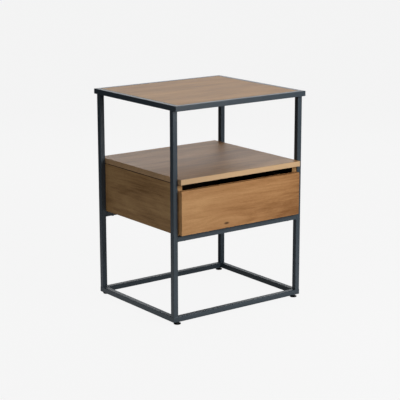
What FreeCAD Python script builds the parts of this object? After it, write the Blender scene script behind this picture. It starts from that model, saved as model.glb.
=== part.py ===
import FreeCAD, Part
import os
import re
import Sketcher

# Side table: a welded square-tube frame with an inset top, and between its legs a carcass with one drawer on
# ball-bearing runners. Millimetres, +Z up, X to the right, Y to the back, origin on the floor at the middle.

doc = FreeCAD.newDocument("SideTable")

# ---------------------------------------------------------------- driving dimensions
SIZES = (
    ("table_width", 450),
    ("table_depth", 400),
    ("table_height", 608),
    ("tube_side", 15),             # square steel tube, all of the frame
    ("tube_wall", 1.2),
    ("tube_corner", 1.5),          # outside radius of the tube's corners
    ("leg_inset", 14),             # how far the legs stand in from the front and back of the top frame
    ("foot_height", 7),            # floor to the underside of the base frame
    ("cross_rail_base", 234),      # floor to the underside of the two rails under the carcass
    ("top_panel_thickness", 12),
    ("top_panel_gap", 0.4),        # between the top panel and its steel rim
    ("tab_length", 30),            # steel tabs under the top panel
    ("tab_reach", 20),
    ("tab_thickness", 2),
    ("tab_spread", 240),           # between the two tabs on one side rail
    ("shelf_top", 408),            # floor to the open shelf
    ("shelf_thickness", 15),
    ("side_thickness", 16),
    ("leg_clearance", 0.75),       # between the legs and the shelf or the carcass sides
    ("shadow_height", 1.5),        # dark line between the shelf and the carcass sides
    ("shadow_depth", 3),
    ("wood_edge", 0.6),            # softened edges of the wooden boards
    ("carcass_lift", 2),           # thickness of the washers between rails and carcass
    ("base_thickness", 12),
    ("back_thickness", 9),
    ("front_thickness", 15),       # drawer front
    ("front_side_gap", 3),         # drawer front to leg
    ("front_rail_gap", 4),         # drawer front to the rail under it
    ("finger_gap", 17.5),          # drawer front to the shelf above it
    ("front_stop_gap", 1.5),       # back of the drawer front to the carcass
    ("drawer_floor_gap", 6),       # carcass base to the drawer box
    ("drawer_side_drop", 9.5),     # top of the drawer front down to the top of the drawer sides
    ("drawer_side_thickness", 12),
    ("drawer_rear_gap", 39.5),     # drawer box to the back panel, when closed
    ("drawer_bottom_thickness", 4),
    ("groove_rise", 8),            # groove for the drawer bottom, above the sides' lower edge
    ("groove_depth", 5),
    ("groove_clearance", 0.2),
    ("runner_shortfall", 20),      # how much shorter the runners are than the drawer box
    ("runner_height", 35),
    ("runner_thickness", 12.5),
    ("runner_setback", 3),         # front of the carcass to the front of the runners
    ("runner_wall", 1.2),
    ("runner_head", 0.66),         # height of the flat heads inside the channels
    ("runner_travel_share", 0.75), # how much of their length the runners open
    ("channel_lip_share", 0.1),    # shares of the runners' height: the outer channel's lips,
    ("inner_share", 0.63),         # and the whole of the inner channel
    ("ball_clearance", 0.3),
    ("ball_pocket_clearance", 0.15),
    ("cage_wall", 0.8),
    ("cage_rim", 0.5),             # steel left around each ball's pocket
    ("cage_clearance", 0.4),       # between the cage and what runs past it
    ("cage_margin", 2.5),
    ("foot_inset", 16.2),          # ends of the base frame to the middle of the feet
    ("pad_radius", 10),
    ("pad_height", 4),
    ("stud_radius", 3),
    ("stud_shoulder", 0.5),        # pad to the start of the stud's thread, and the bevel at the thread's end
    ("stud_reach", 11),            # underside of the base frame to the top of the stud
    ("thread_clearance", 0.08),
    ("nut_sleeve", 1.5),           # wall of the threaded nuts
    ("nut_flange_radius", 5.5),
    ("nut_flange_thickness", 0.8),
    ("nut_height", 9.5),           # underside of the base frame to the top of the nuts
    ("dowel_radius", 3),
    ("screw_radius", 2),
)
BALLS_PER_ROW = 5

# ---------------------------------------------------------------- values worked out from them
LAYOUT = (
    ("leg_outer_x", "table_width / 2"),
    ("leg_inner_x", "leg_outer_x - tube_side"),
    ("leg_outer_y", "table_depth / 2 - leg_inset"),
    ("leg_inner_y", "leg_outer_y - tube_side"),
    ("leg_centre_x", "leg_outer_x - tube_side / 2"),
    ("leg_centre_y", "leg_outer_y - tube_side / 2"),
    ("rim_base", "table_height - tube_side"),
    ("leg_base", "foot_height + tube_side"),
    ("leg_length", "rim_base - leg_base"),
    ("foot_x", "leg_outer_x - foot_inset"),
    ("rim_inner_x", "table_width / 2 - tube_side"),
    ("rim_inner_y", "table_depth / 2 - tube_side"),
    ("top_panel_base", "table_height - top_panel_thickness"),
    ("tab_base", "top_panel_base - tab_thickness"),
    ("cross_rail_top", "cross_rail_base + tube_side"),
    ("carcass_base", "cross_rail_top + carcass_lift"),
    ("shelf_base", "shelf_top - shelf_thickness"),
    ("carcass_height", "shelf_base - carcass_base"),
    ("carcass_half_width", "leg_inner_x - leg_clearance"),
    ("carcass_inner_x", "carcass_half_width - side_thickness"),
    ("carcass_half_depth", "table_depth / 2 - front_thickness - front_stop_gap"),
    ("base_top", "carcass_base + base_thickness"),
    ("back_front_y", "carcass_half_depth - back_thickness"),
    ("front_half_width", "leg_inner_x - front_side_gap"),
    ("front_base", "cross_rail_top + front_rail_gap"),
    ("front_height", "shelf_base - finger_gap - front_base"),
    ("front_back_y", "front_thickness - table_depth / 2"),
    ("drawer_outer_x", "carcass_inner_x - runner_thickness"),
    ("drawer_inner_x", "drawer_outer_x - drawer_side_thickness"),
    ("drawer_base", "base_top + drawer_floor_gap"),
    ("drawer_side_height", "front_base + front_height - drawer_side_drop - drawer_base"),
    ("drawer_length", "back_front_y - front_back_y - drawer_rear_gap"),
    ("drawer_bottom_base", "drawer_base + groove_rise"),
    ("runner_length", "drawer_length - runner_shortfall"),
    ("drawer_travel", "runner_travel_share * runner_length"),
    ("runner_front_y", "runner_setback - carcass_half_depth"),
    ("runner_base", "drawer_base + (drawer_side_height - runner_height) / 2"),
    ("runner_middle", "runner_base + runner_height / 2"),
    ("channel_lip", "channel_lip_share * runner_height"),
    ("inner_height", "inner_share * runner_height"),
    ("inner_drop", "(runner_height - inner_height) / 2"),
    ("ball_radius", "(inner_drop - runner_wall) / 2 - ball_clearance"),
    ("ball_offset_z", "(runner_wall + inner_drop) / 2"),
    ("cage_length", "runner_length - drawer_travel - 2 * cage_margin"),
    ("cage_front_y", "runner_front_y + drawer_travel / 2 + cage_margin"),
    ("cage_offset_x", "runner_wall + runner_head + cage_clearance"),
    ("inner_reach", "runner_thickness - cage_offset_x - cage_wall - cage_clearance"),
    ("ball_offset_x", "cage_offset_x + cage_wall + ball_clearance + ball_radius"),
    ("cage_reach", "ball_offset_x + ball_radius + ball_pocket_clearance + cage_rim - cage_offset_x"),
    ("channel_reach", "cage_offset_x + cage_reach + cage_clearance / 2 + runner_wall"),
    ("cage_offset_z", "ball_offset_z - cage_wall / 2"),
    ("cage_height", "runner_height - 2 * cage_offset_z"),
    ("ball_pitch", "cage_length / %d" % BALLS_PER_ROW),
)

# ---------------------------------------------------------------- fixings: sizes, places and reach
HEAD_RADIUS = "1.9 * screw_radius"
HEAD_HEIGHT = "1.1 * screw_radius"
LOW_HEAD_HEIGHT = "0.6 * screw_radius"
TOP_SCREW_BITE = "0.7 * top_panel_thickness"
CARCASS_SCREW_X = "carcass_inner_x - 0.6 * side_thickness"
CARCASS_SCREW_Y = "leg_centre_y - screw_radius / 2"
CARCASS_SCREW_BITE = "0.8 * base_thickness"
BASE_DOWELS = (0.15, 0.5, 0.85)        # places along the carcass's depth, as shares of it
BACK_DOWELS = (0.3, 0.7)               # places up the carcass's height, as shares of it
BACK_DOWEL_RADIUS = "0.8 * dowel_radius"
DOWEL_IN_SIDE = "0.6 * side_thickness"
DOWEL_IN_EDGE = "1.1 * side_thickness"
DOWEL_IN_SHELF = "0.55 * shelf_thickness"
RUNNER_SCREWS = (0.12, 0.5, 0.88)      # places along a runner, as shares of its length
RUNNER_SCREW_RADIUS = "0.85 * screw_radius"
RUNNER_BITE_IN_SIDE = "0.75 * side_thickness"
RUNNER_BITE_IN_DRAWER = "0.75 * drawer_side_thickness"
JOINT_HEIGHTS = (0.2, 0.82)            # screws at the drawer's corners, as shares of the sides' height
JOINT_BITE = "1.8 * drawer_side_thickness"
FRONT_SCREW_X = "0.65 * drawer_inner_x"
FRONT_SCREW_BITE = "0.65 * front_thickness"
NUT_RADIUS = "(stud_radius + thread_clearance + nut_sleeve)"

SHEET_OF = {}


def formula(text):
    """Turns plain names, such as 'table_width / 2', into references to the cell that holds each one."""
    return re.sub(r"[a-z][a-z_]+", lambda word: SHEET_OF[word.group()] + "." + word.group(), str(text))


def make_sheet(name, rows, worked_out):
    """A sheet with the names in column A and their values in column B, each value's alias being its name."""
    sheet = doc.addObject("Spreadsheet::Sheet", name)
    for row, (alias, content) in enumerate(rows, start=1):
        sheet.set("A%d" % row, alias)
        sheet.set("B%d" % row, "=" + formula(content) if worked_out else str(content))
        sheet.setAlias("B%d" % row, alias)
        SHEET_OF[alias] = name
    doc.recompute()
    return sheet


sizes = make_sheet("Sizes", SIZES, worked_out=False)
layout = make_sheet("Layout", LAYOUT, worked_out=True)


# ---------------------------------------------------------------- how pieces are made
NODES = []


def bind(item, **formulas):
    """Binds properties of one object to formulas."""
    for name, text in formulas.items():
        item.setExpression(name, formula(text))


def place(item, corner, turn=0, axis=(0, 0, 1)):
    """Puts an object's own origin at a point given by three formulas, turned about an axis in degrees."""
    item.Placement = FreeCAD.Placement(FreeCAD.Vector(), FreeCAD.Rotation(FreeCAD.Vector(*axis), turn))
    for letter, text in zip("xyz", corner):
        item.setExpression("Placement.Base." + letter, formula(text))


def new_body(label):
    body = doc.addObject("PartDesign::Body", label)
    body.Label = label
    return body


def finish(item, label):
    """Lists an object as one of the table's nodes, under its own label."""
    item.Label = label
    NODES.append(item)
    return item


def new_sketch(body, role):
    """A sketch on one of the body's own origin planes."""
    sketch = body.newObject("Sketcher::SketchObject", body.Name + "_sketch")
    plane = [feature for feature in body.Origin.OriginFeatures if feature.Role == role][0]
    sketch.AttachmentSupport = [(plane, "")]
    sketch.MapMode = "FlatFace"
    return sketch


def evaluate(text):
    """The number that a formula stands for."""
    return float(layout.evalExpression(formula(text)))


def outline(sketch, points):
    """A closed outline through points given by pairs of formulas, none negative, each tied to the origin."""
    corners = [FreeCAD.Vector(evaluate(across), evaluate(up), 0) for across, up in points]
    count = len(points)
    for i in range(count):
        sketch.addGeometry(Part.LineSegment(corners[i], corners[(i + 1) % count]), False)
    for i in range(count):
        sketch.addConstraint(Sketcher.Constraint("Coincident", i, 2, (i + 1) % count, 1))
    for i, (across, up) in enumerate(points):
        tie(sketch, i, "DistanceX", across, corners[i].x, -2)
        tie(sketch, i, "DistanceY", up, corners[i].y, -1)


def tie(sketch, corner, kind, text, value, axis_line):
    """Ties one coordinate of a corner to a formula, or to the sketch's own axis where it is nought."""
    if text == "0":
        sketch.addConstraint(Sketcher.Constraint("PointOnObject", corner, 1, axis_line))
        return
    number = sketch.addConstraint(Sketcher.Constraint(kind, -1, 1, corner, 1, value))
    sketch.setExpression("Constraints[%d]" % number, formula(text))


def padded(body, role, points, length, reverse=False):
    """Pads an outline off one of the body's origin planes; off XZ it goes toward -Y unless reversed."""
    sketch = new_sketch(body, role)
    outline(sketch, points)
    pad = body.newObject("PartDesign::Pad", body.Name + "_pad")
    pad.Profile = sketch
    pad.Reversed = reverse
    bind(pad, Length=length)
    doc.recompute()
    return pad


def soften(body, feature, radius, along=None):
    """Rounds a feature's straight edges, all of them or those along one direction."""
    names = []
    for number, edge in enumerate(feature.Shape.Edges, start=1):
        direction = edge.tangentAt(edge.FirstParameter)
        if along is None or abs(direction.dot(FreeCAD.Vector(*along))) > 0.99:
            names.append("Edge%d" % number)
    fillet = body.newObject("PartDesign::Fillet", body.Name + "_edges")
    fillet.Base = (feature, names)
    bind(fillet, Radius=radius)
    doc.recompute()


def cut_box(body, corner, extent):
    """Cuts a box out of a body, from its lowest corner and its size, both given by formulas."""
    box = body.newObject("PartDesign::SubtractiveBox", body.Name + "_cut")
    place(box, corner)
    bind(box, Length=extent[0], Width=extent[1], Height=extent[2])


def drill(body, start, direction, radius, depth):
    """Drills a round hole into a body from a point, along +X, +Y or +Z or the other way."""
    hole = body.newObject("PartDesign::SubtractiveCylinder", body.Name + "_hole")
    place(hole, start, *TURNS[direction])
    bind(hole, Radius=radius, Height=depth)


# How an object that points up +Z is turned to point each way: the angle and the axis it turns about.
TURNS = {
    "+z": (0, (0, 0, 1)),
    "-z": (180, (1, 0, 0)),
    "+x": (90, (0, 1, 0)),
    "-x": (-90, (0, 1, 0)),
    "+y": (-90, (1, 0, 0)),
    "-y": (90, (1, 0, 0)),
}


def board(label, corner, extent, edge="wood_edge"):
    """A flat board: a rectangle padded up from its lowest corner, with every edge softened."""
    body = new_body(label)
    rectangle = [("0", "0"), (extent[0], "0"), (extent[0], extent[1]), ("0", extent[1])]
    pad = padded(body, "XY_Plane", rectangle, extent[2])
    soften(body, pad, edge)
    place(body, corner)
    return finish(body, label)


def primitive(kind, name, corner, direction="+z", **formulas):
    """A Part primitive with its sizes and place bound to formulas."""
    item = doc.addObject("Part::" + kind, name)
    bind(item, **formulas)
    place(item, corner, *TURNS[direction])
    return item


def screw(name, seat, direction, length, radius="screw_radius", head_height=HEAD_HEIGHT):
    """A pan-head screw with a hexagon socket; seat is the point under its head, direction the way it goes."""
    shank = primitive("Cylinder", name + "_shank", ("0", "0", "0"), Radius=radius, Height=length)
    head = primitive("Cylinder", name + "_head", ("0", "0", "-(%s)" % head_height),
                     Radius=HEAD_RADIUS, Height=head_height)
    socket = primitive("Prism", name + "_socket", ("0", "0", "-(%s)" % head_height),
                       Circumradius="0.5 * %s" % HEAD_RADIUS, Height="0.6 * %s" % head_height)
    solid = doc.addObject("Part::Fuse", name + "_solid")
    solid.Base = shank
    solid.Tool = head
    finished = doc.addObject("Part::Cut", name)
    finished.Base = solid
    finished.Tool = socket
    place(finished, seat, *TURNS[direction])
    return finished


def group(label, members):
    """One node of like pieces that stay separate solids."""
    compound = doc.addObject("Part::Compound", label)
    compound.Links = members
    return finish(compound, label)


def signed(side, text):
    """A formula on the left (-1) or the right (+1) of the middle."""
    return "%d * (%s)" % (side, text)


SIDES = (("left", -1), ("right", 1))
ENDS = (("front", -1), ("rear", 1))
CORNERS = [(end, side, front, right) for end, front in ENDS for side, right in SIDES]


# ---------------------------------------------------------------- frame
def tube(label, corner, extent, along):
    """A straight length of square tube, from its lowest corner, with its axis along X, Y or Z."""
    axis = "xyz".index(along)
    body = new_body(label)
    rectangle = [("0", "0"), (extent[0], "0"), (extent[0], extent[1]), ("0", extent[1])]
    pad = padded(body, "XY_Plane", rectangle, extent[2])
    soften(body, pad, "tube_corner", [float(i == axis) for i in range(3)])
    inside = ["tube_side - 2 * tube_wall"] * 3
    inside[axis] = extent[axis]
    bore_corner = ["tube_wall"] * 3
    bore_corner[axis] = "0"
    cut_box(body, bore_corner, inside)
    place(body, corner)
    return finish(body, label)


def make_legs():
    """Four upright tubes, from the base frame's corners up to the side rails of the top frame."""
    for end, side, front, right in CORNERS:
        corner = (signed(right, "leg_centre_x") + " - tube_side / 2",
                  signed(front, "leg_centre_y") + " - tube_side / 2", "leg_base")
        tube("leg_%s_%s" % (end, side), corner, ("tube_side", "tube_side", "leg_length"), "z")


def mitred_rail(label, corner, length, turn):
    """A tube with mitred ends, from its outer corner: a trapezium in plan, padded to the tube's height."""
    body = new_body(label)
    plan = [("0", "0"), (length, "0"), (length + " - tube_side", "tube_side"), ("tube_side", "tube_side")]
    pad = padded(body, "XY_Plane", plan, "tube_side")
    soften(body, pad, "tube_corner", (1, 0, 0))
    hollow = "tube_side - 2 * tube_wall"
    cut_box(body, ("0", "tube_wall", "tube_wall"), (length, hollow, hollow))
    place(body, corner, turn)
    return finish(body, label)


def mitred_frame(name, half_width, half_depth, base):
    """Four mitred rails that close a level rectangle around the middle."""
    left, front = "-(%s)" % half_width, "-(%s)" % half_depth
    width, depth = "2 * (%s)" % half_width, "2 * (%s)" % half_depth
    return [mitred_rail(name + "_front", (left, front, base), width, 0),
            mitred_rail(name + "_right", (half_width, front, base), depth, 90),
            mitred_rail(name + "_rear", (half_width, half_depth, base), width, 180),
            mitred_rail(name + "_left", (left, half_depth, base), depth, 270)]


def make_level_frames():
    """The top frame around the inset panel, and the base frame, which holds the four nuts for the feet."""
    mitred_frame("rim_rail", "table_width / 2", "table_depth / 2", "rim_base")
    front, right, rear, left = mitred_frame("base_rail", "leg_outer_x", "leg_outer_y", "foot_height")
    for rail in (front, rear):
        for along in ("foot_inset", "2 * leg_outer_x - foot_inset"):
            drill(rail, (along, "tube_side / 2", "0"), "+z", NUT_RADIUS, "tube_wall")


def make_cross_rails():
    """Two rails between the legs that carry the carcass."""
    for end, front in ENDS:
        rail_y = signed(front, "leg_centre_y") + " - tube_side / 2"
        tube("cross_rail_" + end, ("-leg_inner_x", rail_y, "cross_rail_base"),
             ("2 * leg_inner_x", "tube_side", "tube_side"), "x")


def tab_places():
    """The middle of each tab's outer edge and the way in: two on each side rail, one in front and rear."""
    places = []
    for side, right in SIDES:
        for end, front in ENDS:
            places.append((signed(right, "rim_inner_x"), signed(front, "tab_spread / 2"), -right, 0))
    for end, front in ENDS:
        places.append(("0", signed(front, "rim_inner_y"), 0, -front))
    return places


def make_tabs():
    """Steel tabs welded inside the rim under the top panel, and a screw up through each."""
    tabs, screws = [], []
    for number, (x, y, toward_x, toward_y) in enumerate(tab_places()):
        along_x = toward_x != 0
        low_x = x + " - %d * tab_reach" % (toward_x < 0) if along_x else x + " - tab_length / 2"
        low_y = y + " - %d * tab_reach" % (toward_y < 0) if not along_x else y + " - tab_length / 2"
        plate = primitive("Box", "tab_plate_%d" % number, (low_x, low_y, "tab_base"),
                          Length="tab_reach" if along_x else "tab_length",
                          Width="tab_length" if along_x else "tab_reach", Height="tab_thickness")
        hole_x = x + " + %d * tab_reach / 2" % toward_x
        hole_y = y + " + %d * tab_reach / 2" % toward_y
        hole = primitive("Cylinder", "tab_hole_%d" % number, (hole_x, hole_y, "tab_base"),
                         Radius="screw_radius", Height="tab_thickness")
        tab = doc.addObject("Part::Cut", "tab_%d" % number)
        tab.Base = plate
        tab.Tool = hole
        tabs.append(tab)
        screws.append(screw("top_screw_%d" % number, (hole_x, hole_y, "tab_base"), "+z",
                            "tab_thickness + " + TOP_SCREW_BITE, head_height=LOW_HEAD_HEIGHT))
    group("top_panel_tabs", tabs)
    group("top_panel_screws", screws)


def make_top_panel():
    """The board inset in the rim, flush with the steel and screwed to the tabs."""
    panel = board("top_panel",
                  ("top_panel_gap - rim_inner_x", "top_panel_gap - rim_inner_y", "top_panel_base"),
                  ("2 * (rim_inner_x - top_panel_gap)", "2 * (rim_inner_y - top_panel_gap)",
                   "top_panel_thickness"))
    for x, y, toward_x, toward_y in tab_places():
        start = (x + " + %d * tab_reach / 2 + rim_inner_x - top_panel_gap" % toward_x,
                 y + " + %d * tab_reach / 2 + rim_inner_y - top_panel_gap" % toward_y, "0")
        drill(panel, start, "+z", "screw_radius", TOP_SCREW_BITE)


# ---------------------------------------------------------------- carcass
def make_shelf():
    """The open shelf, which is also the carcass's lid: between the legs, and as deep as the top."""
    shelf = board("shelf_board", ("-carcass_half_width", "-table_depth / 2", "shelf_base"),
                  ("2 * carcass_half_width", "table_depth", "shelf_thickness"))
    for side, right in SIDES:
        for share in BASE_DOWELS:
            start = ("carcass_half_width + " + signed(right, "carcass_half_width - side_thickness / 2"),
                     "table_depth / 2 + (%g) * carcass_half_depth" % (2 * share - 1), "0")
            drill(shelf, start, "+z", "dowel_radius", DOWEL_IN_SHELF)


def make_carcass_sides():
    """Two upright boards inboard of the legs, rebated along the outer top edge for a shadow line."""
    for side, right in SIDES:
        outer_left = right < 0
        panel = board("side_panel_" + side,
                      (("-carcass_half_width" if outer_left else "carcass_inner_x"), "-carcass_half_depth",
                       "carcass_base"),
                      ("side_thickness", "2 * carcass_half_depth", "carcass_height"))
        cut_box(panel, ("0" if outer_left else "side_thickness - shadow_depth", "0",
                        "carcass_height - shadow_height"),
                ("shadow_depth", "2 * carcass_half_depth", "shadow_height"))
        inner = "side_thickness" if outer_left else "0"
        inward = "-x" if outer_left else "+x"
        for share in BASE_DOWELS:
            depth_y = "%g * 2 * carcass_half_depth" % share
            drill(panel, ("side_thickness / 2", depth_y, "carcass_height"), "-z", "dowel_radius",
                  DOWEL_IN_EDGE)
            drill(panel, (inner, depth_y, "base_thickness / 2"), inward, "dowel_radius", DOWEL_IN_SIDE)
        for share in BACK_DOWELS:
            start = (inner, "2 * carcass_half_depth - back_thickness / 2", "%g * carcass_height" % share)
            drill(panel, start, inward, BACK_DOWEL_RADIUS, DOWEL_IN_SIDE)
        for share in RUNNER_SCREWS:
            start = (inner, "runner_setback + %g * runner_length" % share, "runner_middle - carcass_base")
            drill(panel, start, inward, RUNNER_SCREW_RADIUS, RUNNER_BITE_IN_SIDE)


def make_carcass_base():
    """The board under the drawer, which carries the carcass on the two cross rails."""
    base = board("carcass_base_panel", ("-carcass_inner_x", "-carcass_half_depth", "carcass_base"),
                 ("2 * carcass_inner_x", "2 * carcass_half_depth", "base_thickness"))
    for side, right in SIDES:
        for share in BASE_DOWELS:
            start = ("0" if right < 0 else "2 * carcass_inner_x", "%g * 2 * carcass_half_depth" % share,
                     "base_thickness / 2")
            drill(base, start, "+x" if right < 0 else "-x", "dowel_radius", DOWEL_IN_EDGE)
        for end, front in ENDS:
            start = ("carcass_inner_x + " + signed(right, CARCASS_SCREW_X),
                     "carcass_half_depth + " + signed(front, CARCASS_SCREW_Y), "0")
            drill(base, start, "+z", "screw_radius", CARCASS_SCREW_BITE)


def make_back():
    """The board that closes the carcass behind, between the sides and on top of the base."""
    back = board("back_panel", ("-carcass_inner_x", "back_front_y", "base_top"),
                 ("2 * carcass_inner_x", "back_thickness", "shelf_base - base_top"))
    for side, right in SIDES:
        for share in BACK_DOWELS:
            start = ("0" if right < 0 else "2 * carcass_inner_x", "back_thickness / 2",
                     "%g * carcass_height - base_thickness" % share)
            drill(back, start, "+x" if right < 0 else "-x", BACK_DOWEL_RADIUS, DOWEL_IN_EDGE)


def make_carcass_dowels():
    """Beech dowels: sides to shelf, sides to base, and thinner ones from sides to back."""
    dowels = []
    for side, right in SIDES:
        into_side = "+x" if right > 0 else "-x"
        for share in BASE_DOWELS:
            y = "(%g) * carcass_half_depth" % (2 * share - 1)
            x = signed(right, "carcass_half_width - side_thickness / 2")
            dowels.append(primitive("Cylinder", "shelf_dowel_%s" % side,
                                    (x, y, "shelf_base - " + DOWEL_IN_EDGE),
                                    Radius="dowel_radius", Height=DOWEL_IN_EDGE + " + " + DOWEL_IN_SHELF))
            x = signed(right, "carcass_inner_x - " + DOWEL_IN_EDGE)
            dowels.append(primitive("Cylinder", "base_dowel_%s" % side,
                                    (x, y, "carcass_base + base_thickness / 2"), into_side,
                                    Radius="dowel_radius", Height=DOWEL_IN_EDGE + " + " + DOWEL_IN_SIDE))
        for share in BACK_DOWELS:
            dowels.append(primitive("Cylinder", "back_dowel_%s" % side,
                                    (x, "carcass_half_depth - back_thickness / 2",
                                     "carcass_base + %g * carcass_height" % share), into_side,
                                    Radius=BACK_DOWEL_RADIUS, Height=DOWEL_IN_EDGE + " + " + DOWEL_IN_SIDE))
    group("carcass_dowels", dowels)


def make_carcass_fixings():
    """Four screws up through the cross rails into the carcass base, each with a washer under the wood."""
    screws, washers = [], []
    for end, side, front, right in CORNERS:
        spot = (signed(right, CARCASS_SCREW_X), signed(front, CARCASS_SCREW_Y))
        name = "%s_%s" % (end, side)
        screws.append(screw("carcass_screw_" + name, spot + ("cross_rail_base",), "+z",
                            "tube_side + carcass_lift + " + CARCASS_SCREW_BITE))
        disc = primitive("Cylinder", "washer_disc_" + name, spot + ("cross_rail_top",),
                         Radius="3 * screw_radius", Height="carcass_lift")
        hole = primitive("Cylinder", "washer_hole_" + name, spot + ("cross_rail_top",),
                         Radius="screw_radius", Height="carcass_lift")
        washer = doc.addObject("Part::Cut", "washer_" + name)
        washer.Base = disc
        washer.Tool = hole
        washers.append(washer)
        rail = doc.getObject("cross_rail_" + end)
        start = ("leg_inner_x + " + spot[0],
                 "tube_side / 2 + %s - (%s)" % (spot[1], signed(front, "leg_centre_y")), "0")
        drill(rail, start, "+z", "screw_radius", "tube_side")
    group("carcass_screws", screws)
    group("carcass_washers", washers)


# ---------------------------------------------------------------- runners
def channel(label, face_x, outward, points, front_y, length):
    """A folded steel section along Y, from its front; outward is +1 where it reaches from face_x to +X."""
    body = new_body(label)
    if outward > 0:
        padded(body, "XZ_Plane", points, length, reverse=True)
        place(body, (face_x, front_y, "runner_base"))
    else:
        padded(body, "XZ_Plane", points, length)
        place(body, (face_x, front_y, "runner_base"), 180)
    return finish(body, label)


def make_runners():
    """Per side: a channel screwed to the carcass, a narrower one screwed to the drawer, and the screws."""
    cabinet_section = [
        ("0", "0"), ("channel_reach", "0"), ("channel_reach", "runner_wall + channel_lip"),
        ("channel_reach - runner_wall", "runner_wall + channel_lip"),
        ("channel_reach - runner_wall", "runner_wall"),
        ("runner_wall", "runner_wall"), ("runner_wall", "runner_height - runner_wall"),
        ("channel_reach - runner_wall", "runner_height - runner_wall"),
        ("channel_reach - runner_wall", "runner_height - runner_wall - channel_lip"),
        ("channel_reach", "runner_height - runner_wall - channel_lip"), ("channel_reach", "runner_height"),
        ("0", "runner_height")]
    low, high = "inner_drop", "(runner_height - inner_drop)"
    drawer_section = [
        ("0", low), ("inner_reach", low), ("inner_reach", low + " + runner_wall"),
        ("runner_wall", low + " + runner_wall"), ("runner_wall", high + " - runner_wall"),
        ("inner_reach", high + " - runner_wall"), ("inner_reach", high), ("0", high)]
    for side, right in SIDES:
        cabinet = channel("runner_cabinet_" + side, signed(right, "carcass_inner_x"), -right,
                          cabinet_section, "runner_front_y", "runner_length")
        drawer = channel("runner_drawer_" + side, signed(right, "drawer_outer_x"), right,
                         drawer_section, "runner_front_y", "runner_length")
        cabinet_screws, drawer_screws = [], []
        toward_carcass, toward_drawer = ("+x", "-x") if right > 0 else ("-x", "+x")
        for number, share in enumerate(RUNNER_SCREWS):
            y = "runner_front_y + %g * runner_length" % share
            local_y = "%g * runner_length" % share
            for member in (cabinet, drawer):
                flipped = (member is cabinet) == (right > 0)
                drill(member, ("0", ("-(%s)" if flipped else "%s") % local_y, "runner_height / 2"), "+x",
                      RUNNER_SCREW_RADIUS, "runner_wall")
            cabinet_screws.append(screw(
                "cabinet_runner_screw_%s_%d" % (side, number),
                (signed(right, "carcass_inner_x - runner_wall"), y, "runner_middle"), toward_carcass,
                "runner_wall + " + RUNNER_BITE_IN_SIDE, RUNNER_SCREW_RADIUS, "runner_head"))
            drawer_screws.append(screw(
                "drawer_runner_screw_%s_%d" % (side, number),
                (signed(right, "drawer_outer_x + runner_wall"), y, "runner_middle"), toward_drawer,
                "runner_wall + " + RUNNER_BITE_IN_DRAWER, RUNNER_SCREW_RADIUS, "runner_head"))
        group("runner_cabinet_screws_" + side, cabinet_screws)
        group("runner_drawer_screws_" + side, drawer_screws)


def make_ball_cages():
    """Per side: a folded strip between the channels that keeps two rows of balls apart, and the balls."""
    section = [("0", "0"), ("cage_reach", "0"), ("cage_reach", "cage_wall"), ("cage_wall", "cage_wall"),
               ("cage_wall", "cage_height - cage_wall"), ("cage_reach", "cage_height - cage_wall"),
               ("cage_reach", "cage_height"), ("0", "cage_height")]
    for side, right in SIDES:
        body = new_body("ball_cage_" + side)
        faces_left = right > 0
        padded(body, "XZ_Plane", section, "cage_length", reverse=not faces_left)
        balls = []
        for number in range(BALLS_PER_ROW):
            along = "%g * ball_pitch" % (number + 0.5)
            pocket = ("ball_offset_x - cage_offset_x", ("-(%s)" if faces_left else "%s") % along, "0")
            drill(body, pocket, "+z", "ball_radius + ball_pocket_clearance", "cage_height")
            for height in ("ball_offset_z", "runner_height - ball_offset_z"):
                balls.append(primitive("Sphere", "ball", (
                    signed(right, "carcass_inner_x - ball_offset_x"), "cage_front_y + " + along,
                    "runner_base + " + height), Radius="ball_radius"))
        place(body, (signed(right, "carcass_inner_x - cage_offset_x"), "cage_front_y",
                     "runner_base + cage_offset_z"), 180 if faces_left else 0)
        finish(body, "ball_cage_" + side)
        group("balls_" + side, balls)


# ---------------------------------------------------------------- drawer
def make_drawer_sides():
    """The two sides of the drawer box, grooved inside for the bottom and drilled for the corner screws."""
    for side, right in SIDES:
        inner_groove = "drawer_side_thickness - groove_depth" if right < 0 else "0"
        panel = board("drawer_side_" + side,
                      ("-drawer_outer_x" if right < 0 else "drawer_inner_x", "front_back_y", "drawer_base"),
                      ("drawer_side_thickness", "drawer_length", "drawer_side_height"))
        cut_box(panel, (inner_groove, "0", "groove_rise"),
                ("groove_depth", "drawer_length", "drawer_bottom_thickness + groove_clearance"))
        outer = "0" if right < 0 else "drawer_side_thickness"
        inward = "+x" if right < 0 else "-x"
        for y in ("drawer_side_thickness / 2", "drawer_length - drawer_side_thickness / 2"):
            for share in JOINT_HEIGHTS:
                drill(panel, (outer, y, "%g * drawer_side_height" % share), inward, "screw_radius",
                      "drawer_side_thickness")
                drill(panel, (outer, y, "%g * drawer_side_height" % share), inward, HEAD_RADIUS, HEAD_HEIGHT)
        for share in RUNNER_SCREWS:
            start = (outer, "runner_front_y - front_back_y + %g * runner_length" % share,
                     "runner_middle - drawer_base")
            drill(panel, start, inward, RUNNER_SCREW_RADIUS, RUNNER_BITE_IN_DRAWER)


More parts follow.
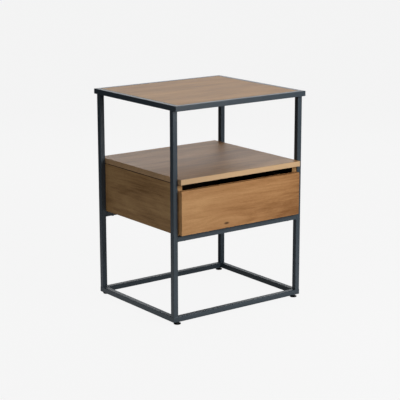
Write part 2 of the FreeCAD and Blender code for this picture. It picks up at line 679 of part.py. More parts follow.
def make_drawer_ends():
    """The drawer box's inner front and its back, between the sides; both are grooved for the bottom."""
    rear_y = "front_back_y + drawer_length - drawer_side_thickness"
    for label, y, groove_y in (("drawer_inner_front", "front_back_y", "drawer_side_thickness - groove_depth"),
                               ("drawer_back", rear_y, "0")):
        panel = board(label, ("-drawer_inner_x", y, "drawer_base"),
                      ("2 * drawer_inner_x", "drawer_side_thickness", "drawer_side_height"))
        cut_box(panel, ("0", groove_y, "groove_rise"),
                ("2 * drawer_inner_x", "groove_depth", "drawer_bottom_thickness + groove_clearance"))
        for share in JOINT_HEIGHTS:
            height = "%g * drawer_side_height" % share
            drill(panel, ("0", "drawer_side_thickness / 2", height), "+x", "screw_radius", JOINT_BITE)
            drill(panel, ("2 * drawer_inner_x", "drawer_side_thickness / 2", height), "-x", "screw_radius",
                  JOINT_BITE)
            if label == "drawer_inner_front":
                for side, right in SIDES:
                    drill(panel, ("drawer_inner_x + " + signed(right, FRONT_SCREW_X), "0", height), "+y",
                          "screw_radius", "drawer_side_thickness")


def make_drawer_bottom():
    """A thin panel held in the grooves on all four sides."""
    board("drawer_bottom", ("-drawer_inner_x - groove_depth",
                            "front_back_y + drawer_side_thickness - groove_depth", "drawer_bottom_base"),
          ("2 * (drawer_inner_x + groove_depth)",
           "drawer_length - 2 * drawer_side_thickness + 2 * groove_depth", "drawer_bottom_thickness"),
          edge="wood_edge / 2")


def make_drawer_front():
    """The overlay front, flush with the shelf and the top; the gap above it is the pull."""
    front = board("drawer_front", ("-front_half_width", "-table_depth / 2", "front_base"),
                  ("2 * front_half_width", "front_thickness", "front_height"))
    for side, right in SIDES:
        for share in JOINT_HEIGHTS:
            start = ("front_half_width + " + signed(right, FRONT_SCREW_X), "front_thickness",
                     "drawer_base + %g * drawer_side_height - front_base" % share)
            drill(front, start, "-y", "screw_radius", FRONT_SCREW_BITE)


def make_drawer_screws():
    """Screws through the inner front into the drawer front, and through the sides into the two ends."""
    front_screws, corner_screws = [], []
    for side, right in SIDES:
        for share in JOINT_HEIGHTS:
            height = "drawer_base + %g * drawer_side_height" % share
            front_screws.append(screw(
                "drawer_front_screw_%s" % side,
                (signed(right, FRONT_SCREW_X), "front_back_y + drawer_side_thickness", height), "-y",
                "drawer_side_thickness + " + FRONT_SCREW_BITE))
            for y in ("front_back_y + drawer_side_thickness / 2",
                      "front_back_y + drawer_length - drawer_side_thickness / 2"):
                corner_screws.append(screw(
                    "drawer_corner_screw_%s" % side,
                    (signed(right, "drawer_outer_x - " + HEAD_HEIGHT), y, height),
                    "-x" if right > 0 else "+x",
                    "drawer_side_thickness - %s + %s" % (HEAD_HEIGHT, JOINT_BITE)))
    group("drawer_front_screws", front_screws)
    group("drawer_corner_screws", corner_screws)


def make_bumpers():
    """Four soft discs on the back of the drawer front, where it closes against the carcass sides."""
    bumpers = []
    for side, right in SIDES:
        for share in JOINT_HEIGHTS:
            bumpers.append(primitive(
                "Cylinder", "bumper_%s" % side,
                (signed(right, "carcass_half_width - side_thickness / 2"), "front_back_y",
                 "drawer_base + %g * drawer_side_height" % share), "+y",
                Radius="0.25 * side_thickness", Height="0.93 * front_stop_gap"))
    group("drawer_bumpers", bumpers)


# ---------------------------------------------------------------- levelling feet
def make_foot_nuts():
    """Flanged threaded nuts set in the underside of the base frame's front and rear rails."""
    nuts = []
    for end, side, front, right in CORNERS:
        name = "nut_%s_%s" % (end, side)
        spot = (signed(right, "foot_x"), signed(front, "leg_centre_y"))
        flange = primitive("Cylinder", name + "_flange", spot + ("foot_height - nut_flange_thickness",),
                           Radius="nut_flange_radius", Height="nut_flange_thickness")
        sleeve = primitive("Cylinder", name + "_sleeve", spot + ("foot_height",),
                           Radius=NUT_RADIUS, Height="nut_height")
        bore = primitive("Cylinder", name + "_bore", spot + ("foot_height - nut_flange_thickness",),
                         Radius="stud_radius + thread_clearance", Height="nut_flange_thickness + nut_height")
        blank = doc.addObject("Part::Fuse", name + "_blank")
        blank.Base = flange
        blank.Tool = sleeve
        nut = doc.addObject("Part::Cut", name)
        nut.Base = blank
        nut.Tool = bore
        nuts.append(nut)
    group("foot_nuts", nuts)


def turned(label, corner, profile):
    """A turned piece: a half-section in the body's XZ plane, revolved about its own Z axis."""
    body = new_body(label)
    sketch = new_sketch(body, "XZ_Plane")
    outline(sketch, profile)
    solid = body.newObject("PartDesign::Revolution", body.Name + "_turned")
    solid.Profile = sketch
    solid.ReferenceAxis = (sketch, ["V_Axis"])
    solid.Angle = 360
    place(body, corner)
    return finish(body, label)


def make_feet():
    """Per foot: a round pad that stands on the floor, and a stud that turns in it and in the frame's nut."""
    neck, collar = "0.6 * stud_radius", "1.3 * stud_radius"
    collar_base, collar_top = "0.3 * pad_height", "0.6 * pad_height"
    thread_base, thread_top = "pad_height + stud_shoulder", "foot_height + stud_reach"
    pad = [("0", "0"), ("0.9 * pad_radius", "0"), ("pad_radius", "0.15 * pad_height"),
           ("pad_radius", "0.6 * pad_height"), ("0.7 * pad_radius", "pad_height"),
           (neck + " + thread_clearance", "pad_height"),
           (neck + " + thread_clearance", collar_top + " + 2 * thread_clearance"),
           (collar + " + thread_clearance", collar_top + " + 2 * thread_clearance"),
           (collar + " + thread_clearance", collar_base), ("0", collar_base)]
    stud = [("0", collar_base + " + thread_clearance"), (collar, collar_base + " + thread_clearance"),
            (collar, collar_top + " + thread_clearance"), (neck, collar_top + " + thread_clearance"),
            (neck, thread_base), ("stud_radius", thread_base),
            ("stud_radius", thread_top + " - stud_shoulder"), ("stud_radius - stud_shoulder", thread_top),
            ("0", thread_top)]
    for end, side, front, right in CORNERS:
        spot = (signed(right, "foot_x"), signed(front, "leg_centre_y"), "0")
        turned("foot_pad_%s_%s" % (end, side), spot, pad)
        turned("foot_stud_%s_%s" % (end, side), spot, stud)


# ---------------------------------------------------------------- build, test and write
def check():
    """Stops at the first object that failed or has no valid shape."""
    doc.recompute()
    for item in doc.Objects:
        if "Invalid" in item.State or "Error" in item.State:
            raise RuntimeError("%s failed: %s" % (item.Label, item.State))
    for node in NODES:
        if node.Shape.isNull() or not node.Shape.isValid() or not node.Shape.Solids:
            raise RuntimeError("%s has no valid shape" % node.Label)


def write():
    """Writes each node's shape to its own file."""
    os.makedirs("parts", exist_ok=True)
    for node in NODES:
        node.Shape.exportStep("parts/%s.step" % node.Label)
        print("%-34s %2d solids  %10.0f mm3" % (node.Label, len(node.Shape.Solids), node.Shape.Volume))


make_legs()
make_level_frames()
make_cross_rails()
make_tabs()
make_top_panel()
make_shelf()
make_carcass_sides()
make_carcass_base()
make_back()
make_carcass_dowels()
make_carcass_fixings()
make_runners()
make_ball_cages()
make_drawer_sides()
make_drawer_ends()
make_drawer_bottom()
make_drawer_front()
make_drawer_screws()
make_bumpers()
make_foot_nuts()
make_feet()
check()
write()
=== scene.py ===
import bpy
import math
import numpy as np
from mathutils import Matrix


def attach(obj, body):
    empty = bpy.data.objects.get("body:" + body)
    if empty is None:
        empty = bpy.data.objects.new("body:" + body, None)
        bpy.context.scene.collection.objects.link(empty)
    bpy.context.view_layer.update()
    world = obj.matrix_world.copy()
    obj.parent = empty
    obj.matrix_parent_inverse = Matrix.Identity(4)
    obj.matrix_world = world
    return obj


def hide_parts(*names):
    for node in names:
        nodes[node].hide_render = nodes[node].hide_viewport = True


# A side table: a welded steel frame that carries an inset top, an open shelf and a drawer.
# Everything is in metres, in the table's own frame: +Z up, +Y to the back, the floor at nought.

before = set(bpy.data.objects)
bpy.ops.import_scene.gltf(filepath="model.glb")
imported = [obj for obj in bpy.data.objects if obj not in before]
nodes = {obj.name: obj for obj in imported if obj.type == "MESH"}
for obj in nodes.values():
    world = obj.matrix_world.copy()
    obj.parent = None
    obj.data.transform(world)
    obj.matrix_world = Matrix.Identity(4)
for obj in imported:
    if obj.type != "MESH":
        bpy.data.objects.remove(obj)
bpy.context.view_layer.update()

# ------------------------------------------------------------------ steel frame
# Mild steel tube, 15 mm square, mitred and welded, then ground flush and powder coated in an anthracite
# blue-grey. The coat is satin, and its faint orange peel softens what it reflects.
ENDS = (("front", -1), ("rear", 1))
SIDES = (("left", -1), ("right", 1))
CORNERS = [(end + "_" + side, front, right) for end, front in ENDS for side, right in SIDES]


def linear(code):
    """The linear colour of an sRGB hex code, with alpha 1."""
    channels = [int(code[i:i + 2], 16) / 255 for i in (1, 3, 5)]
    return [c / 12.92 if c <= 0.04045 else ((c + 0.055) / 1.055) ** 2.4 for c in channels] + [1.0]


def material(name):
    """An empty node material and its shader."""
    made = bpy.data.materials.new(name)
    made.use_nodes = True
    shader = made.node_tree.nodes["Principled BSDF"]
    return made, shader


def add(made, kind, inputs=(), **settings):
    """Adds a node. The settings are its properties, and the inputs are its sockets by name or number, each
    with a value or a link."""
    item = made.node_tree.nodes.new(kind)
    for name, value in settings.items():
        setattr(item, name, value)
    for name, value in dict(inputs).items():
        if isinstance(value, bpy.types.NodeSocket):
            made.node_tree.links.new(value, item.inputs[name])
        else:
            item.inputs[name].default_value = value
    return item


def join(made, source, target):
    """Links one socket to another."""
    made.node_tree.links.new(source, target)


def per_mm(size):
    """The texture scale that gives a pattern features of that many millimetres."""
    return 1000.0 / size


def wear(node, made):
    """Gives a CAD piece one material on all of its faces."""
    mesh = nodes[node].data
    mesh.materials.clear()
    mesh.materials.append(made)


def powder_coat():
    """Powder-coated steel: reads as dark satin paint, slightly pebbled, a touch greyer where handled."""
    coat, shader = material("powder-coated steel")
    place = add(coat, "ShaderNodeTexCoord").outputs["Object"]
    cloud = add(coat, "ShaderNodeTexNoise", {"Vector": place, "Scale": per_mm(60), "Detail": 3.0})
    tone = add(coat, "ShaderNodeMix", {0: cloud.outputs["Fac"], 6: linear("#37424A"), 7: linear("#3D4851")},
               data_type="RGBA")
    peel = add(coat, "ShaderNodeTexNoise", {"Vector": place, "Scale": per_mm(0.9), "Detail": 2.0})
    bump = add(coat, "ShaderNodeBump", {"Height": peel.outputs["Fac"], "Strength": 0.25, "Distance": 0.00006})
    rough = add(coat, "ShaderNodeMapRange", {0: cloud.outputs["Fac"], 3: 0.38, 4: 0.46})
    join(coat, tone.outputs[2], shader.inputs["Base Color"])
    join(coat, rough.outputs[0], shader.inputs["Roughness"])
    join(coat, bump.outputs[0], shader.inputs["Normal"])
    return coat


steel_coat = powder_coat()
for corner, front, right in CORNERS:
    wear("leg_" + corner, steel_coat)
for edge in ("front", "rear", "left", "right"):
    wear("rim_rail_" + edge, steel_coat)
    wear("base_rail_" + edge, steel_coat)
for end, front in ENDS:
    wear("cross_rail_" + end, steel_coat)
wear("top_panel_tabs", steel_coat)

# ------------------------------------------------------------------ levelling feet
# Black nylon pads snapped over the collars of zinc-plated M6 studs, which screw into flanged steel nuts
# in the underside of the base frame. The studs' threads are rolled, with a crest and a root.


def metal(name, code, rough):
    """Plated or polished metal: reads as bright steel, with faint drawn streaks in its gloss."""
    made, shader = material(name)
    place = add(made, "ShaderNodeTexCoord").outputs["Object"]
    drawn = add(made, "ShaderNodeMapping", {"Vector": place, "Scale": (1.0, 0.02, 1.0)}).outputs[0]
    streak = add(made, "ShaderNodeTexNoise", {"Vector": drawn, "Scale": per_mm(0.8), "Detail": 2.0})
    gloss = add(made, "ShaderNodeMapRange", {0: streak.outputs["Fac"], 3: rough - 0.06, 4: rough + 0.08})
    shader.inputs["Base Color"].default_value = linear(code)
    shader.inputs["Metallic"].default_value = 1.0
    join(made, gloss.outputs[0], shader.inputs["Roughness"])
    return made


def plastic(name, code, rough):
    """Moulded plastic or rubber: reads as dull black, with a fine matt grain."""
    made, shader = material(name)
    place = add(made, "ShaderNodeTexCoord").outputs["Object"]
    grain = add(made, "ShaderNodeTexNoise", {"Vector": place, "Scale": per_mm(0.4), "Detail": 2.0})
    bump = add(made, "ShaderNodeBump", {"Height": grain.outputs["Fac"], "Strength": 0.3, "Distance": 0.00005})
    shader.inputs["Base Color"].default_value = linear(code)
    shader.inputs["Roughness"].default_value = rough
    join(made, bump.outputs[0], shader.inputs["Normal"])
    return made


def stacked_rings(radii, angles, heights):
    """Vertices and faces of a closed solid about +Z from rings of equal counts. Point (i, j) stands at
    (r cos a, r sin a, z) with r = radii[i, j], a = angles[j] and z = heights[i, j]; both ends close on a
    point at the mean height of their ring."""
    rings, count = radii.shape
    points = np.stack([radii * np.cos(angles), radii * np.sin(angles), heights], axis=-1).reshape(-1, 3)
    ends = np.array([[0.0, 0.0, heights[0].mean()], [0.0, 0.0, heights[-1].mean()]])
    i, j = np.meshgrid(np.arange(rings - 1), np.arange(count), indexing="ij")
    along = (j + 1) % count
    walls = np.stack([i * count + j, i * count + along, (i + 1) * count + along, (i + 1) * count + j],
                     axis=-1).reshape(-1, 4)
    turn = np.arange(count)
    after = (turn + 1) % count
    low, high = rings * count, rings * count + 1
    last = (rings - 1) * count
    caps = np.concatenate([np.stack([np.full(count, low), after, turn], axis=-1),
                           np.stack([np.full(count, high), last + turn, last + after], axis=-1)])
    return np.concatenate([points, ends]), walls, caps


def piece(name, parts, made, body, node, smooth=True):
    """One mesh from several (vertices, four-sided faces, triangles), shown in place of a CAD node."""
    points, faces, start = [], [], 0
    for vertices, walls, caps in parts:
        points.append(vertices)
        faces += (walls + start).tolist() + (caps + start).tolist()
        start += len(vertices)
    mesh = bpy.data.meshes.new(name)
    mesh.from_pydata(np.concatenate(points).tolist(), [], faces)
    mesh.polygons.foreach_set("use_smooth", [smooth] * len(mesh.polygons))
    mesh.materials.append(made)
    item = bpy.data.objects.new(name, mesh)
    bpy.context.scene.collection.objects.link(item)
    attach(item, body)
    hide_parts(node)


MM = 0.001


def threaded_stud(spot):
    """A stud about +Z at a spot on the floor. On its thread the radius is root + (crest - root) times a
    triangle wave of z / pitch - a / 2 pi, which winds the crest once round for each pitch of height."""
    count, crest, root, pitch = 36, 2.98 * MM, 2.46 * MM, 1.0 * MM
    neck, collar = 1.8 * MM, 3.9 * MM
    thread_base, thread_top, bevel = 4.5 * MM, 18.0 * MM, 0.5 * MM
    angles = np.linspace(0.0, 2 * math.pi, count, endpoint=False)
    steps = np.arange(thread_base, thread_top + 0.01 * MM, pitch / 8)
    winding = (steps[:, None] / pitch - angles[None, :] / (2 * math.pi)) % 1.0
    thread = root + (crest - root) * (1.0 - np.abs(2.0 * winding - 1.0))
    room = crest - np.clip(bevel - (thread_top - steps), 0.0, bevel)
    thread = np.minimum(thread, room[:, None])
    collar_base, collar_top = 1.28 * MM, 2.48 * MM
    plain = [(collar, collar_base), (collar, collar_top), (neck, collar_top), (neck, thread_base)]
    radii = np.concatenate([np.array([[r] * count for r, z in plain]), thread])
    heights = np.concatenate([[z for r, z in plain], steps])[:, None] * np.ones((1, count))
    vertices, walls, caps = stacked_rings(radii, angles, heights)
    return vertices + np.array(spot), walls, caps


zinc = metal("zinc-plated steel", "#B9BCC0", 0.32)
black_plastic = plastic("black nylon", "#131416", 0.5)
wear("foot_nuts", zinc)
foot_x, foot_y = 208.8 * MM, 178.5 * MM
for corner, front, right in CORNERS:
    wear("foot_pad_" + corner, black_plastic)
    stud = threaded_stud((right * foot_x, front * foot_y, 0.0))
    piece("threaded_stud_" + corner, [stud], zinc, "foot_stud_" + corner, "foot_stud_" + corner)

# ------------------------------------------------------------------ carcass
# Chipboard faced and edged with a brown-stained oak veneer under a matt lacquer, joined with glued beech
# dowels. The grain runs across the table on the shelf and from front to back on the sides. The sides are
# painted black inside and in the rebate under the shelf: painted shade, which draws the shadow line under the
# shelf and the dark inside of the carcass. The side panels' veneer is painted paler than the other boards' to
# brighten their shaded outer faces: painted light.


def veneer(name, grain="x", shift=(0.0, 0.0, 0.0), tones=("#B98F63", "#A0784F", "#7C583A"), rough=0.5,
           sheen=0.2, painted_edge_light=(0.0, 0.0), knot=None, painted_falloff=0.0, calm=1.0,
           painted_shade_above=None, painted_shade_facing=0):
    """Oak veneer: reads as calm brown wood with long soft streaks, faint arches and short dark pores, all
    drawn out along the grain. A painted highlight makes the strips on the front and on the side edges
    lighter, by the two given amounts for strips facing along Y and along X, for the light those edges catch.
    A knot is a dark oval that the streaks flow round. A painted light falloff makes the leaf darker by the
    given amount over a metre to the right, paler toward the left. Calm is how evenly toned it is. Painted
    shade makes the board black above a given height, and on its face toward a given side along X."""
    light, mid, dark = tones
    wood, shader = material(name)
    source = add(wood, "ShaderNodeTexCoord")
    place = source.outputs["Object"]

    def oval(half_width, half_height):
        """The distance from the knot's middle in half widths and half heights, 1 on the oval itself."""
        reach = add(wood, "ShaderNodeVectorMath", {0: from_knot, 1: (1 / half_width, 0.0, 1 / half_height)},
                    operation="MULTIPLY").outputs[0]
        return add(wood, "ShaderNodeVectorMath", {0: reach}, operation="LENGTH").outputs["Value"]

    if knot:
        from_knot = add(wood, "ShaderNodeVectorMath", {0: place, 1: knot}, operation="SUBTRACT").outputs[0]
        pull = add(wood, "ShaderNodeMapRange", {0: oval(40 * MM, 18 * MM), 1: 0.0, 2: 2.6, 3: -0.85, 4: 0.0},
                   interpolation_type="SMOOTHSTEP").outputs[0]
        pulled = add(wood, "ShaderNodeVectorMath", {0: from_knot, "Scale": pull},
                     operation="SCALE").outputs[0]
        place = add(wood, "ShaderNodeVectorMath", {0: place, 1: pulled}, operation="ADD").outputs[0]
    turn = {"x": (0.0, 0.0, 0.0), "y": (0.0, 0.0, math.radians(90))}[grain]
    board = add(wood, "ShaderNodeMapping", {"Vector": place, "Location": shift, "Rotation": turn}).outputs[0]

    def streaks(size, stretch, detail):
        """Noise drawn out along the grain, with features of size mm across it."""
        drawn = add(wood, "ShaderNodeMapping", {"Vector": board, "Scale": (1 / stretch, 1.0, 1.0)})
        return add(wood, "ShaderNodeTexNoise", {"Vector": drawn.outputs[0], "Scale": per_mm(size),
                                                "Detail": detail, "Roughness": 0.55}).outputs["Fac"]

    def times(value, factor, plus=0.0):
        """value * factor + plus."""
        return add(wood, "ShaderNodeMath", {0: value, 1: factor, 2: plus},
                   operation="MULTIPLY_ADD").outputs[0]

    figure = streaks(85, 7, 1.0)
    arch_count = 15.0
    arches = add(wood, "ShaderNodeMath", {0: times(figure, 2 * math.pi * arch_count)},
                 operation="SINE").outputs[0]
    tone = times(streaks(52, 5, 2.0), 0.55, -0.10)
    tone = times(streaks(9, 22, 3.0), 0.34, tone)
    tone = times(streaks(1.4, 40, 3.0), 0.22, tone)
    tone = times(streaks(3.5, 3, 2.0), 0.14, tone)
    tone = times(arches, 0.022, tone)
    # Painted light falloff: the tone is painted darker toward +X and paler toward the left.
    if painted_falloff:
        across = add(wood, "ShaderNodeSeparateXYZ", {0: place}).outputs["X"]
        tone = times(across, -painted_falloff, tone)
    ramp = add(wood, "ShaderNodeValToRGB", {"Fac": tone})
    stops = ramp.color_ramp.elements
    middle_tone = 0.51
    stops[0].position, stops[0].color = middle_tone - 0.17 * calm, linear(dark)
    stops[1].position, stops[1].color = middle_tone + 0.19 * calm, linear(light)
    middle = stops.new(middle_tone)
    middle.color = linear(mid)
    pores = add(wood, "ShaderNodeMapRange", {0: streaks(0.5, 16, 1.0), 1: 0.60, 2: 0.70, 3: 0.0,
                                             4: 0.35}).outputs[0]
    colour = add(wood, "ShaderNodeMix", {0: pores, 6: ramp.outputs["Color"], 7: linear(dark)},
                 data_type="RGBA").outputs[2]
    if knot:
        heart = add(wood, "ShaderNodeMapRange", {0: oval(10.5 * MM, 4.2 * MM), 1: 1.15, 2: 0.35, 3: 0.0,
                                                 4: 0.85}, interpolation_type="SMOOTHSTEP").outputs[0]
        colour = add(wood, "ShaderNodeMix", {0: heart, 6: colour, 7: linear("#4A2F1B")},
                     data_type="RGBA").outputs[2]
    if any(painted_edge_light) or painted_shade_above:
        facing = add(wood, "ShaderNodeSeparateXYZ", {0: source.outputs["Normal"]}).outputs
    # Painted highlight: faces looking along Y or X are painted paler, for the light the edge strips catch.
    for axis, edge_light in zip("YX", painted_edge_light):
        if edge_light:
            squarely = add(wood, "ShaderNodeMath", {0: facing[axis]}, operation="ABSOLUTE").outputs[0]
            lit_strip = add(wood, "ShaderNodeMapRange", {0: squarely, 1: 0.6, 2: 0.95, 3: 0.0,
                                                     4: edge_light}).outputs[0]
            colour = add(wood, "ShaderNodeMix", {0: lit_strip, 6: colour, 7: linear("#E2BE93")},
                         data_type="RGBA").outputs[2]
    # Painted shade: black above the rebate floor and on the inner face, for the shadow line under the shelf
    # and the dark inside of the carcass.
    if painted_shade_above:
        level = add(wood, "ShaderNodeSeparateXYZ", {0: source.outputs["Object"]}).outputs["Z"]
        above = add(wood, "ShaderNodeMath", {0: level, 1: painted_shade_above}, operation="GREATER_THAN").outputs[0]
        inside = add(wood, "ShaderNodeMath", {0: times(facing["X"], painted_shade_facing), 1: 0.7},
                     operation="GREATER_THAN").outputs[0]
        black = add(wood, "ShaderNodeMath", {0: above, 1: inside}, operation="MAXIMUM").outputs[0]
        colour = add(wood, "ShaderNodeMix", {0: black, 6: colour, 7: linear("#17120E")},
                     data_type="RGBA").outputs[2]
    height = times(pores, -1.5, streaks(1.4, 40, 3.0))
    bump = add(wood, "ShaderNodeBump", {"Height": height, "Strength": 0.16, "Distance": 0.0002})
    gloss = add(wood, "ShaderNodeMapRange", {0: streaks(9, 22, 3.0), 3: rough - 0.06,
                                             4: rough + 0.06}).outputs[0]
    join(wood, colour, shader.inputs["Base Color"])
    join(wood, gloss, shader.inputs["Roughness"])
    join(wood, bump.outputs[0], shader.inputs["Normal"])
    shader.inputs["Specular IOR Level"].default_value = sheen
    return wood


side_shifts = {"left": (0.13, 0.21, 0.34), "right": (0.71, -0.20, 0.31)}
# The side panels are painted black above this height: painted shade for the shadow line under the shelf.
rebate_floor = 391.3 * MM
for side, right in SIDES:
    # Painted light: the side panels' tones are paler than the other boards' to brighten their shaded outer
    # faces.
    wear("side_panel_" + side, veneer("stained oak veneer, %s side" % side, grain="y",
                                      shift=side_shifts[side], tones=("#C39D6C", "#AB8457", "#805C34"),
                                      painted_shade_above=rebate_floor, painted_shade_facing=-right))
wear("carcass_base_panel", veneer("stained oak veneer, base", shift=(0.52, 0.11, 0.28)))
wear("back_panel", veneer("stained oak veneer, back", shift=(0.44, -0.17, 0.37)))
# Painted highlight: the shelf's front and side edge strips are painted paler.
wear("shelf_board", veneer("stained oak veneer, shelf", shift=(0.87, 0.05, 0.23), rough=0.45, sheen=0.3,
                           painted_edge_light=(0.75, 0.40)))
beech = veneer("beech dowel", tones=("#D8BC92", "#CCAE84", "#B89A70"), shift=(0.2, 0.6, 0.1))
wear("carcass_dowels", beech)

# ------------------------------------------------------------------ screws and washers
# Black socket screws with rounded heads: four up through the cross rails into the carcass, each with a
# rubber washer under the wood, and six up through the tabs into the top.


def way_matrix(way):
    """Turns +Z to the way a screw goes in: one of the six straight ways."""
    turns = {"+z": (0, "X"), "-z": (180, "X"), "+x": (90, "Y"), "-x": (-90, "Y"), "+y": (-90, "X"),
             "-y": (90, "X")}
    angle, axis = turns[way]
    return np.array(Matrix.Rotation(math.radians(angle), 3, axis))


def socket_screw(seat, way, length, head_radius, head_height, shank_radius):
    """A screw whose seat, under its head, is at a point. Rings run from the shank's tip over a rounded head
    into a hexagonal socket, whose radius is its flat over cos(a) within 30 degrees of each flat's middle."""
    count = 24
    angles = np.linspace(0.0, 2 * math.pi, count, endpoint=False)
    hexagon = 1.0 / np.cos((angles + math.pi / 6) % (math.pi / 3) - math.pi / 6)
    flat = 0.45 * head_radius
    rim = 0.25 * head_height
    tip = 0.5 * shank_radius
    round_ring = [(tip, length), (shank_radius, length - tip), (shank_radius, 0.0), (head_radius, 0.0),
                  (head_radius, -0.55 * head_height), (0.94 * head_radius, -head_height + rim),
                  (0.78 * head_radius, -head_height + 0.25 * rim), (1.25 * flat, -head_height)]
    hex_ring = [(flat, -head_height + 0.1 * rim), (flat, -0.4 * head_height)]
    radii = np.array([[r] * count for r, z in round_ring] + [list(r * hexagon) for r, z in hex_ring])
    heights = np.array([[z] * count for r, z in round_ring + hex_ring])
    vertices, walls, caps = stacked_rings(radii, angles, heights)
    return vertices @ way_matrix(way).T + np.array(seat), walls[:, ::-1], caps[:, ::-1]


black_steel = metal("black-oxide steel", "#34363A", 0.42)
rubber = plastic("soft black rubber", "#141414", 0.8)
wear("carcass_washers", rubber)
screw_radius, head_radius, head_height = 2 * MM, 3.8 * MM, 2.2 * MM
carcass_screw_x, carcass_screw_y, carcass_screw_length = 183.65 * MM, 177.5 * MM, 26.6 * MM
cross_rail_base = 234 * MM
carcass_screws = [socket_screw((right * carcass_screw_x, front * carcass_screw_y, cross_rail_base), "+z",
                               carcass_screw_length, head_radius, head_height, screw_radius)
                  for corner, front, right in CORNERS]
piece("carcass_socket_screws", carcass_screws, black_steel, "frame", "carcass_screws",
      smooth=False)

# ------------------------------------------------------------------ runners
# Cold-rolled channels with bright zinc plating, one screwed to the carcass and one to the drawer on each
# side; between them a folded cage keeps two rows of hardened balls apart.
ball_steel = metal("polished ball steel", "#D6D8DA", 0.12)
for side, right in SIDES:
    for name in ("runner_cabinet_", "runner_drawer_", "runner_cabinet_screws_", "runner_drawer_screws_",
                 "ball_cage_"):
        wear(name + side, zinc)
    wear("balls_" + side, ball_steel)

# ------------------------------------------------------------------ drawer box
# Boards under a matt lacquer, screwed at the corners, with a thin plywood bottom held in grooves. Their
# near-black tone is painted shade: it stands for the dark gap above the drawer front. The sides' grain runs
# from front to back.
# Painted shade: near-black tones for the drawer box, standing for the dark gap above the drawer front.
shade_black_tones = ("#40362E", "#332A24", "#261F1A")
box_side = veneer("shade-black board, sides", grain="y", shift=(0.4, 0.1, 0.2), tones=shade_black_tones)
box_end = veneer("shade-black board, ends", shift=(0.1, 0.3, 0.2), tones=shade_black_tones)
plywood = veneer("shade-black plywood", shift=(0.6, -0.3, 0.1), tones=shade_black_tones, rough=0.58)
for side, right in SIDES:
    wear("drawer_side_" + side, box_side)
wear("drawer_inner_front", box_end)
wear("drawer_back", box_end)
wear("drawer_bottom", plywood)
drawer_screw_heights = (288.4 * MM, 348.54 * MM)
corner_screw_x, corner_screw_rows, corner_screw_length = 178.55 * MM, (-179 * MM, 129 * MM), 31.4 * MM
corner_screws = [socket_screw((right * corner_screw_x, row, height), "-x" if right > 0 else "+x",
                              corner_screw_length, head_radius, head_height, screw_radius)
                 for side, right in SIDES for row in corner_screw_rows for height in drawer_screw_heights]
piece("drawer_corner_socket_screws", corner_screws, zinc, "drawer", "drawer_corner_screws",
      smooth=False)

# ------------------------------------------------------------------ drawer front
# A veneered board held by four screws from inside the drawer, picked for a livelier leaf, with one small knot
# low down. Its leaf is painted paler toward the left and darker toward the right: painted light falloff. Four
# soft discs behind it quiet its closing.
knot_place = (-0.055, -0.2, 0.2665)
wear("drawer_front", veneer("stained oak veneer, drawer front", shift=(0.23, 0.19, 0.30),
                            tones=("#CB9B69", "#B28152", "#875930"), knot=knot_place, painted_falloff=0.80,
                            calm=1.25))
front_screw_x, inner_front_back, front_screw_length = 109.69 * MM, -173 * MM, 21.75 * MM
front_screws = [socket_screw((right * front_screw_x, inner_front_back, height), "-y", front_screw_length,
                             head_radius, head_height, screw_radius)
                for side, right in SIDES for height in drawer_screw_heights]
piece("drawer_front_socket_screws", front_screws, zinc, "drawer", "drawer_front_screws",
      smooth=False)
wear("drawer_bumpers", rubber)

# ------------------------------------------------------------------ top
# The same veneered board set in the steel rim, flush with it, and held by screws up through the tabs.
wear("top_panel", veneer("stained oak veneer, top", shift=(0.31, 0.02, 0.44), sheen=0.17,
                         tones=("#B88C58", "#9F7544", "#7A5533"), calm=1.4))
corner_tab_x, corner_tab_y, middle_tab_y = 200 * MM, 120 * MM, 175 * MM
top_seats = [(right * corner_tab_x, front * corner_tab_y) for corner, front, right in CORNERS]
top_seats += [(0.0, front * middle_tab_y) for end, front in ENDS]
tab_base, top_screw_length, low_head_height = 594 * MM, 10.4 * MM, 1.2 * MM
top_screws = [socket_screw((x, y, tab_base), "+z", top_screw_length, head_radius, low_head_height,
                           screw_radius) for x, y in top_seats]
piece("top_socket_screws", top_screws, black_steel, "frame", "top_panel_screws", smooth=False)

# ------------------------------------------------------------------ floor, lights and camera
# A plain pale floor, with pale walls far off, in a soft studio: a softbox in front, a weak one on the left
# and one overhead, a bright wall behind on the right, and light that comes up from the floor around the
# table.


def pale_room(name, side, floor_level):
    """A cubic room of that side, centred on the table, whose faces look inward. Corner k of the floor and of
    the ceiling is the k-th of the four pairs (+-side / 2, +-side / 2), taken anticlockwise."""
    half = side / 2
    corners = [(-half, -half), (half, -half), (half, half), (-half, half)]
    points = [corner + (level,) for level in (floor_level, floor_level + side) for corner in corners]
    walls = [(k + 4, (k + 1) % 4 + 4, (k + 1) % 4, k) for k in range(4)]
    mesh = bpy.data.meshes.new(name)
    mesh.from_pydata(points, [], [(0, 1, 2, 3), (7, 6, 5, 4)] + walls)
    item = bpy.data.objects.new(name, mesh)
    bpy.context.scene.collection.objects.link(item)
    return item


just_below_the_feet = -0.0002
room_side = 60.0
floor = pale_room("floor", room_side, just_below_the_feet)
paper, paper_shader = material("pale studio floor")
paper_shader.inputs["Base Color"].default_value = linear("#303030")
paper_shader.inputs["Roughness"].default_value = 0.9
paper_shader.inputs["Specular IOR Level"].default_value = 0.0
paper_shader.inputs["Emission Color"].default_value = linear("#FFFFFF")
paper_shader.inputs["Emission Strength"].default_value = 0.90
floor.data.materials.append(paper)
floor.visible_diffuse = False
floor.visible_glossy = False
floor.visible_shadow = False

world = bpy.data.worlds.new("studio")
world.use_nodes = True
sky = world.node_tree.nodes["Background"]
sky.inputs["Color"].default_value = linear("#F2F5F8")
sky.inputs["Strength"].default_value = 0.03
bpy.context.scene.world = world


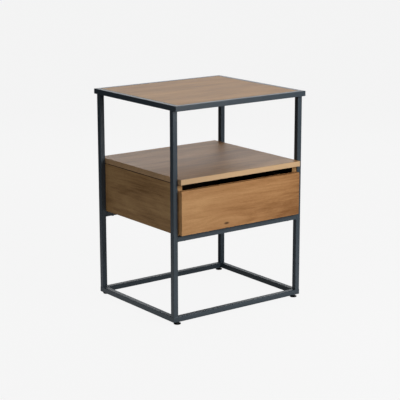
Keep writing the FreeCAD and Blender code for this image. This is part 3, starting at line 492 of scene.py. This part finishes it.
def softbox(name, place, target, size, power):
    """A rectangular white area light at a point, facing another point."""
    data = bpy.data.lights.new(name, "AREA")
    data.shape = "RECTANGLE"
    data.size, data.size_y = size
    data.energy = power
    item = bpy.data.objects.new(name, data)
    way = np.array(target, float) - np.array(place, float)
    yaw = math.atan2(way[0], way[1])
    pitch = math.atan2(way[2], math.hypot(way[0], way[1]))
    turn = Matrix.Rotation(-yaw, 4, "Z") @ Matrix.Rotation(math.radians(90) + pitch, 4, "X")
    item.matrix_world = Matrix.Translation(place) @ turn
    item.visible_camera = False
    bpy.context.scene.collection.objects.link(item)


def floor_glow(name, low, high, brightness):
    """An upward area light over a rectangle of the floor, given by two corners. A brightness of 1 is that of
    lit white paper."""
    width, depth = high[0] - low[0], high[1] - low[1]
    centre = ((low[0] + high[0]) / 2, (low[1] + high[1]) / 2)
    above_floor, straight_up = (0.0005,), (1.0,)
    power = brightness * math.pi * width * depth
    softbox(name, centre + above_floor, centre + straight_up, (width, depth), power)


table_middle = (0.0, 0.0, 0.35)
softbox("key", (0.40, -1.45, 0.95), table_middle, (0.6, 0.7), 15.5)
softbox("left fill", (-1.3, -0.5, 0.9), table_middle, (0.6, 0.6), 2.3)
softbox("overhead", (0.0, 0.0, 2.4), (0.0, 0.0, 0.6), (1.2, 1.2), 12)
softbox("bright wall", (1.5, 2.0, 1.85), (0.0, 0.0, 0.9), (2.8, 1.5), 32)
floor_glow("glow on the left", (-0.80, -0.90), (-0.23, 0.90), 0.50)
floor_glow("glow in front", (-0.22, -0.90), (1.00, -0.20), 0.65)
floor_glow("glow under the table", (-0.21, -0.17), (0.21, 0.17), 0.20)

camera_data = bpy.data.cameras.new("camera")
camera_data.lens = 121.42
camera_data.sensor_width = 36.0
camera_data.clip_start = 0.05
camera = bpy.data.objects.new("camera", camera_data)
camera_place = (-2.2647, -3.0461, 1.1829)
yaw, pitch, roll = (math.radians(angle) for angle in (36.661, -13.292, -0.092))
camera_turn = (Matrix.Rotation(-yaw, 4, "Z") @ Matrix.Rotation(math.radians(90) + pitch, 4, "X")
               @ Matrix.Rotation(roll, 4, "Z"))
camera.matrix_world = Matrix.Translation(camera_place) @ camera_turn
bpy.context.scene.collection.objects.link(camera)
bpy.context.scene.camera = camera
bpy.context.scene.view_settings.view_transform = "Standard"
